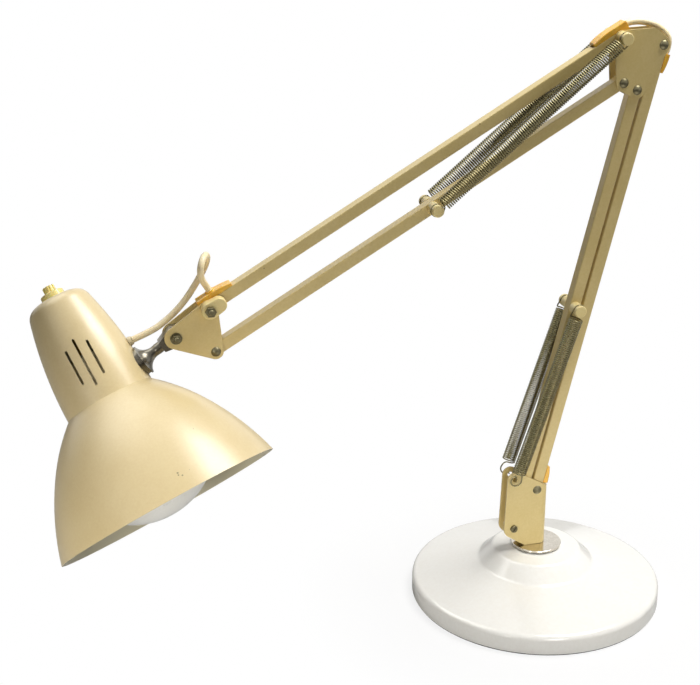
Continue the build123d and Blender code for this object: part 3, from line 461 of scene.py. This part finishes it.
def chipped(tree, colour):
    """A small cluster of chips in the shade's paint."""
    places = (object_place(tree), metres(SHADE_CHIPS))
    away = vector_maths(tree, "DISTANCE", places, "Value")
    near = maths(tree, "LESS_THAN", away, CHIPS_REACH * MM)
    spots = use_group(tree, specks, {"Scale": 330.0, "Size": 0.26, "Share": 0.4})
    chips = maths(tree, "MULTIPLY", near, spots.outputs["Mask"])
    return marked(tree, colour, (128, 112, 74), chips, 0.75)


def white_enamel():
    """Gloss stove enamel, a little warm, with a soft drift and very few specks."""
    coat = {"Coat Weight": 0.6, "Coat Roughness": 0.05}
    material, tree, shader = new_finish("white_enamel", coat)
    colour = toned(tree, (248, 247, 242), (244, 242, 236), 24.0)
    spots = use_group(tree, specks, {"Scale": 120.0, "Size": 0.07, "Share": 0.012})
    colour = marked(tree, colour, (120, 108, 92), spots.outputs["Mask"], 0.5)
    feed(shader, {"Base Color": colour})
    give_skin(tree, shader, (0.12, 0.22), 30.0, 380.0, 0.25, 0.08)
    return material


def metal(name, tone, other, gloss, scale, rub_tone=None):
    """Bare metal with a drift of tone, its edges rubbed if a tone is given for them."""
    material, tree, shader = new_finish(name, {"Metallic": 1.0})
    colour = toned(tree, tone, other, scale)
    if rub_tone is not None:
        rub = use_group(tree, edge_rub, {"Reach": 0.0005, "Strength": 0.9})
        colour = marked(tree, colour, rub_tone, rub.outputs["Mask"], 0.8)
    feed(shader, {"Base Color": colour})
    give_skin(tree, shader, gloss, scale * 2, 1100.0, 0.3)
    return material


def dark_chrome():
    """Dark polished plating with a painted reflection: deep where it faces the eye, painted brighter
    towards its edges.
    """
    material, tree, shader = new_finish("dark_chrome", {"Metallic": 1.0})
    colour = toned(tree, (96, 92, 82), (76, 72, 63), 55.0)
    facing = add_node(tree, "ShaderNodeLayerWeight", {"Blend": 0.45}).outputs["Facing"]
    # painted reflection: the base colour turns paler where the surface is seen edge-on
    feed(shader, {"Base Color": blend_colours(tree, facing, colour, linear(176, 172, 160))})
    give_skin(tree, shader, (0.24, 0.34), 70.0, 300.0, 0.2, 0.08)
    return material


def moulded(name, tone, other, gloss, scale, coat, soft):
    """Moulded plastic, or a plain casting, with a slight drift of tone and a fine skin."""
    material, tree, shader = new_finish(name, {"Coat Weight": coat, "Coat Roughness": 0.15})
    if soft:
        feed(shader, {"Subsurface Weight": soft, "Subsurface Radius": (0.004, 0.003, 0.0015)})
    colour = toned(tree, tone, other, scale)
    rub = use_group(tree, edge_rub, {"Reach": 0.0005, "Strength": 0.5})
    colour = marked(tree, colour, other, rub.outputs["Mask"], 0.8)
    feed(shader, {"Base Color": colour})
    give_skin(tree, shader, gloss, scale, 800.0, 0.3)
    return material


def opal_glass():
    """Opal bulb glass: milky, smooth and faintly uneven."""
    material, tree, shader = new_finish(
        "opal_glass",
        {
            "Coat Weight": 0.5, "Coat Roughness": 0.06,
            "Subsurface Weight": 0.2, "Subsurface Radius": (0.006, 0.006, 0.005),
        },
    )
    feed(shader, {"Base Color": toned(tree, (248, 247, 241), (243, 241, 233), 40.0)})
    give_skin(tree, shader, (0.25, 0.34), 40.0, 260.0, 0.2, 0.06)
    return material


FINISHES = {
    "white_enamel": white_enamel(),
    # painted shade: the arms' copy of the cream paint is deeper and more yellow than the lampshade's
    # copy, for faces that stand mostly in shadow
    "cream_paint": cream_paint("cream_paint", (224, 202, 139), (217, 194, 128), 0.3),
    "dark_steel": metal(
        "dark_steel", (128, 122, 96), (104, 98, 74), (0.32, 0.46), 160.0, (190, 183, 160)
    ),
    "dark_chrome": dark_chrome(),
    "opal_glass": opal_glass(),
    **{slot: metal(slot, *look) for slot, look in METALS.items()},
    **{slot: moulded(slot, *look) for slot, look in MOULDINGS.items()},
}
OWN_FINISHES = {
    # painted light: the lampshade's copy of the same cream paint is paler, for its brightly lit
    # side; its inner face has a tone of its own
    "shade": cream_paint("shade_paint_lit_copy", (231, 211, 162), (226, 204, 152), 0.5, (196, 189, 162)),
    "base_washer": metal("polished_steel", (226, 220, 208), (206, 199, 186), (0.1, 0.2), 60.0),
}


def dress(piece, finish):
    piece.data.materials.clear()
    piece.data.materials.append(finish)


def dress_frame():
    for part in frame["record"]["subparts"]:
        finish = OWN_FINISHES.get(part["node"], FINISHES[part["material_slot"]])
        dress(nodes[part["node"]], finish)


# Flex
def route_curve(name, route):
    """A smooth line with the route's points as its control points."""
    piece, curve = new_curve(name)
    curve.resolution_u = FLEX_STEPS
    spline = curve.splines.new("NURBS")
    spline.points.add(len(route) - 1)
    for point, place in zip(spline.points, route):
        point.co = (*metres(place), 1.0)
    spline.order_u = FLEX_ORDER
    spline.use_endpoint_u = True
    return piece


def line_points(route):
    """Points along the smooth line of a route."""
    guide = route_curve("guide", route)
    drawn = bpy.data.meshes.new_from_object(guide)
    points = [vertex.co.copy() for vertex in drawn.vertices]
    bpy.data.meshes.remove(drawn)
    bpy.data.objects.remove(guide)
    return points


def line_length(points):
    return sum((after - before).length for before, after in zip(points, points[1:]))


def cut_line(points, shares):
    """The line cut into stretches at shares of its length, each cut on one of its points."""
    whole = line_length(points)
    cuts, run = [0], 0.0
    for index in range(1, len(points)):
        run += (points[index] - points[index - 1]).length
        if len(cuts) <= len(shares) and run >= shares[len(cuts) - 1] * whole:
            cuts.append(index)
    cuts.append(len(points) - 1)
    return [points[first:last + 1] for first, last in zip(cuts, cuts[1:])]


def flex_tube(name, points):
    """A length of flex along a run of points, as a mesh."""
    piece, curve = new_curve(name)
    spline = curve.splines.new("POLY")
    spline.points.add(len(points) - 1)
    for point, place in zip(spline.points, points):
        point.co = (*place, 1.0)
    round_off(piece, FLEX, FLEX_ROUNDNESS)
    return as_mesh(piece)


def bending_flex(node, route, shares, bodies):
    """A flex loop across joints, made as stretches of tube cut at shares of its length."""
    stretches = cut_line(line_points(route), shares)
    for number, (points, (near, far)) in enumerate(zip(stretches, bodies), 1):
        piece = flex_tube(f"{node}_{number}", points)
        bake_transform(piece)
        dress(piece, FINISHES["ivory_flex"])
        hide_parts(node)


def inner_flex(node, route, body):
    """Flex inside an arm tube, held all the way."""
    piece = route_curve(f"{node}_line", route)
    round_off(piece, FLEX, FLEX_ROUNDNESS)
    points = line_points(route)
    dress(piece, FINISHES["ivory_flex"])
    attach(piece, body)
    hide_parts(node)


def run_flex():
    bending_flex(
        "head_flex", HEAD_FLEX, HEAD_FLEX_CUTS,
        (("shade", "stem"), ("stem", "head_bracket"), ("head_bracket", "upper_top")),
    )
    bending_flex(
        "elbow_flex", ELBOW_FLEX, ELBOW_FLEX_CUTS,
        (("upper_top", "elbow"), ("elbow", "lower_rear")),
    )
    inner_flex("upper_arm_flex", UPPER_ARM_FLEX, "upper_top")
    inner_flex("lower_arm_flex", LOWER_ARM_FLEX, "lower_rear")


# Springs
def wind_coil(name, turns, length, start_angle):
    """A wound length of wire about the Z axis, from its start angle at the floor upwards."""
    clear_selection()
    bpy.ops.mesh.primitive_circle_add(
        vertices=WIRE_SIDES, radius=WIRE * MM / 2,
        location=(COIL_RADIUS * MM, 0, 0), rotation=(pi / 2, 0, 0),
    )
    coil = bpy.context.object
    coil.name = name
    bpy.ops.object.transform_apply(location=True, rotation=True, scale=True)
    winding = coil.modifiers.new("winding", "SCREW")
    winding.axis = "Z"
    winding.angle = 2 * pi * turns
    winding.screw_offset = length
    winding.steps = winding.render_steps = max(LEAST_STEPS, round(abs(turns) * COIL_STEPS))
    bpy.ops.object.modifier_apply(modifier="winding")
    coil.data.transform(Matrix.Rotation(start_angle, 4, "Z"))
    bpy.ops.object.mode_set(mode="EDIT")
    bpy.ops.mesh.select_all(action="SELECT")
    bpy.ops.mesh.fill_holes(sides=WIRE_SIDES)
    bpy.ops.mesh.normals_make_consistent(inside=False)
    bpy.ops.object.mode_set(mode="OBJECT")
    bpy.ops.object.shade_smooth()
    return coil


def bend_hook(name, centre, to_coil, side, radius, coil_place, coil_heading, tuck=None):
    """A hook ring and the lead from it to the first coil, its tip tucked into a hole if given."""
    piece, curve = new_curve(name)
    curve.resolution_u = HOOK_SMOOTHNESS
    start = HOOK_START if tuck is None else tuck[0]
    turns = [radians(angle) for angle in range(start, HOOK_END + 1, HOOK_STEP)]
    spline = curve.splines.new("BEZIER")
    spline.bezier_points.add(len(turns) + (tuck is not None))
    for point, turn in zip(spline.bezier_points[-len(turns) - 1:], turns):
        point.co = centre + (side * sin(turn) - to_coil * cos(turn)) * radius * MM
        heading = side * cos(turn) + to_coil * sin(turn)
        pull = heading * radius * MM * HOOK_PULL
        point.handle_left, point.handle_right = point.co - pull, point.co + pull
    if tuck is not None:
        tip = spline.bezier_points[0]
        tip.co, outwards = tuck[1], tuck[2]
        tip.handle_left, tip.handle_right = tip.co - outwards * TUCK_TAIL, tip.co + outwards
    last = spline.bezier_points[-1]
    last.co = coil_place
    last.handle_left = coil_place - coil_heading * COIL_PULL * MM
    last.handle_right = coil_place + coil_heading * MM
    leaving = spline.bezier_points[-2]
    leaving.handle_right = leaving.co + to_coil * LEAVING_PULL * MM
    round_off(piece, WIRE, WIRE_ROUNDNESS)
    return as_mesh(piece)


def coil_section(name, axis_frame, first, last, turns, length):
    """The coils from one share of the spring's length to another, set on the spring's axis."""
    share = last - first
    part = wind_coil(name, turns * share, length * share, HOOK_ENTRY + 2 * pi * turns * first)
    along = COIL_LEAD * MM + length * first
    part.data.transform(axis_frame @ Matrix.Translation((0, 0, along)))
    return part


def make_spring(name, start, end, start_side, end_side, coils, cuts=(), tuck=None):
    """An extension spring between two ring centres, cut at shares of its coil length."""
    end_radius = HOOK_RADIUS if tuck is None else EAR_HOOK_RADIUS
    axis = (end - start).normalized()
    cross = axis.cross(start_side)
    end_turn = atan2(end_side.dot(cross), end_side.dot(start_side)) - HOOK_ENTRY
    turns = coils + (end_turn - HOOK_ENTRY) / (2 * pi)
    length = (end - start).length - 2 * COIL_LEAD * MM
    turned = Matrix((start_side, cross, axis)).transposed().to_4x4()
    axis_frame = Matrix.Translation(start) @ turned
    bounds = [0.0, *cuts, 1.0]
    pieces = []
    for number, (first, last) in enumerate(zip(bounds, bounds[1:]), 1):
        made = [coil_section(f"{name}_coil", axis_frame, first, last, turns, length)]
        for is_end, centre, side, radius, tucked in (
            (False, start, start_side, HOOK_RADIUS, None), (True, end, end_side, end_radius, tuck),
        ):
            if is_end and last < 1.0 or not is_end and first > 0.0:
                continue
            angle = HOOK_ENTRY + (2 * pi * turns if is_end else 0.0)
            spoke = start_side * cos(angle) + cross * sin(angle)
            heading = cross * cos(angle) - start_side * sin(angle)
            along = COIL_LEAD * MM + (length if is_end else 0.0)
            place = start + axis * along + spoke * COIL_RADIUS * MM
            to_coil, heading = (-axis, -heading) if is_end else (axis, heading)
            made.append(
                bend_hook(f"{name}_hook", centre, to_coil, side, radius, place, heading, tucked)
            )
        piece = join_pieces(made, f"{name}_{number}" if cuts else f"{name}_coils")
        dress(piece, FINISHES["spring_steel"])
        pieces.append(piece)
    return pieces


def hang_springs():
    for side_name, outward in (("front", -1), ("back", 1)):
        outside = Vector((0, outward, 0))
        top = metres((LOWER_POST[0], outward * SPRING_SIDE, LOWER_POST[1]))
        foot = metres(EAR_RINGS[side_name])
        axis = (foot - top).normalized()
        across = Vector((0, 1, 0)).cross(axis).normalized()
        hole = metres((EAR_HOLE[0], outward * EAR_DEPTH, EAR_HOLE[1]))
        tuck = (EAR_HOOK_STARTS[side_name], hole, outside * TUCK_PULL * MM)
        node = f"lower_spring_{side_name}"
        pieces = make_spring(
            node, top, foot, across, across * outward, LOWER_COILS, LOWER_CUTS, tuck
        )
        for piece, (fixed, moving) in zip(pieces, LOWER_BENDS):
            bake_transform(piece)
            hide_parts(node)
        top = metres((ELBOW_POST[0], outward * SPRING_SIDE, ELBOW_POST[1]))
        foot = metres((UPPER_POST[0], outward * SPRING_SIDE, UPPER_POST[1]))
        sideways = (foot - top).normalized().cross(Vector((0, 1, 0))).normalized()
        node = f"upper_spring_{side_name}"
        piece, = make_spring(node, top, foot, sideways, sideways, UPPER_COILS)
        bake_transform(piece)
        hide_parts(node)


# Camera, light and floor
def set_camera():
    clear_selection()
    bpy.ops.object.camera_add(location=CAMERA_PLACE)
    camera = bpy.context.object
    aim = (Vector(CAMERA_TARGET) - Vector(CAMERA_PLACE)).to_track_quat("-Z", "Y")
    camera.rotation_mode = "QUATERNION"
    camera.rotation_quaternion = aim @ Quaternion((0, 0, 1), CAMERA_ROLL)
    camera.data.lens = CAMERA_LENS
    camera.data.sensor_width = CAMERA_SENSOR
    camera.data.sensor_fit = "HORIZONTAL"
    scene.camera = camera


def set_world():
    """A room that is white to the eye, in reflections and through glass, and gives little light."""
    world = bpy.data.worlds.new("white_room")
    world.use_nodes = True
    scene.world = world
    tree = world.node_tree
    path = tree.nodes.new("ShaderNodeLightPath").outputs
    straight = maths(tree, "MAXIMUM", path["Is Camera Ray"], path["Is Glossy Ray"])
    seen = maths(tree, "MAXIMUM", straight, path["Is Transmission Ray"])
    strength = remap(tree, seen, (0.0, 1.0), (AIR_LIGHT, 1.0))
    feed(tree.nodes["Background"], {"Color": WHITE, "Strength": strength})


def stage_material(name):
    """An empty material for what stands round the lamp."""
    material = bpy.data.materials.new(name)
    material.use_nodes = True
    material.node_tree.nodes.clear()
    return material, material.node_tree


def lay_floor():
    """White floor that keeps a soft shadow and throws less light back up than it shows."""
    clear_selection()
    bpy.ops.mesh.primitive_plane_add(size=FLOOR_SIZE)
    floor = bpy.context.object
    floor.name = "floor"
    material, tree = stage_material("pale_floor")
    path = tree.nodes.new("ShaderNodeLightPath").outputs
    seen = maths(tree, "MAXIMUM", path["Is Camera Ray"], path["Is Transmission Ray"])
    tone = blend_colours(tree, seen, FLOOR_BOUNCE, FLOOR_SEEN)
    pale = add_node(tree, "ShaderNodeBsdfDiffuse", {"Color": tone}).outputs[0]
    white = add_node(tree, "ShaderNodeEmission", {"Color": WHITE, "Strength": 1.0}).outputs[0]
    reach = vector_maths(tree, "LENGTH", (object_place(tree),), "Value")
    clean = remap(tree, reach, SHADOW_FADE, (SHADOW_WHITE, 1.0))
    share = maths(tree, "MULTIPLY", seen, clean)
    mixed = add_node(tree, "ShaderNodeMixShader", {0: share, 1: pale, 2: white})
    feed(tree.nodes.new("ShaderNodeOutputMaterial"), {"Surface": mixed.outputs[0]})
    dress(floor, material)


def hang_card(name, place, target, size, tone):
    """A studio card that only shows in reflections."""
    clear_selection()
    bpy.ops.mesh.primitive_plane_add(size=1)
    card = bpy.context.object
    card.name = name
    turn = (Vector(target) - Vector(place)).to_track_quat("Z", "Y").to_matrix().to_4x4()
    stretch = Matrix.Diagonal((size[0], size[1], 1, 1))
    card.data.transform(Matrix.Translation(place) @ turn @ stretch)
    material, tree = stage_material(name)
    glow = add_node(tree, "ShaderNodeEmission", {"Color": (*tone, 1), "Strength": 1.0})
    feed(tree.nodes.new("ShaderNodeOutputMaterial"), {"Surface": glow.outputs[0]})
    dress(card, material)
    card.visible_camera = False
    card.visible_diffuse = False
    card.visible_shadow = False
    card.visible_transmission = False


def hang_lamp(name, place, target, size, power, colour, spread):
    clear_selection()
    bpy.ops.object.light_add(type="AREA", location=place)
    lamp = bpy.context.object
    lamp.name = name
    lamp.rotation_mode = "QUATERNION"
    lamp.rotation_quaternion = (Vector(target) - Vector(place)).to_track_quat("-Z", "Y")
    lamp.data.size = size
    lamp.data.energy = power
    lamp.data.color = colour
    lamp.data.spread = spread


def light_studio():
    set_world()
    for name, lamp in LAMPS.items():
        hang_lamp(name, *lamp)
    for name, card in CARDS.items():
        hang_card(name, *card)


set_camera()
run_flex()
hang_springs()
dress_frame()
light_studio()
lay_floor()

scene.view_settings.view_transform = "Standard"
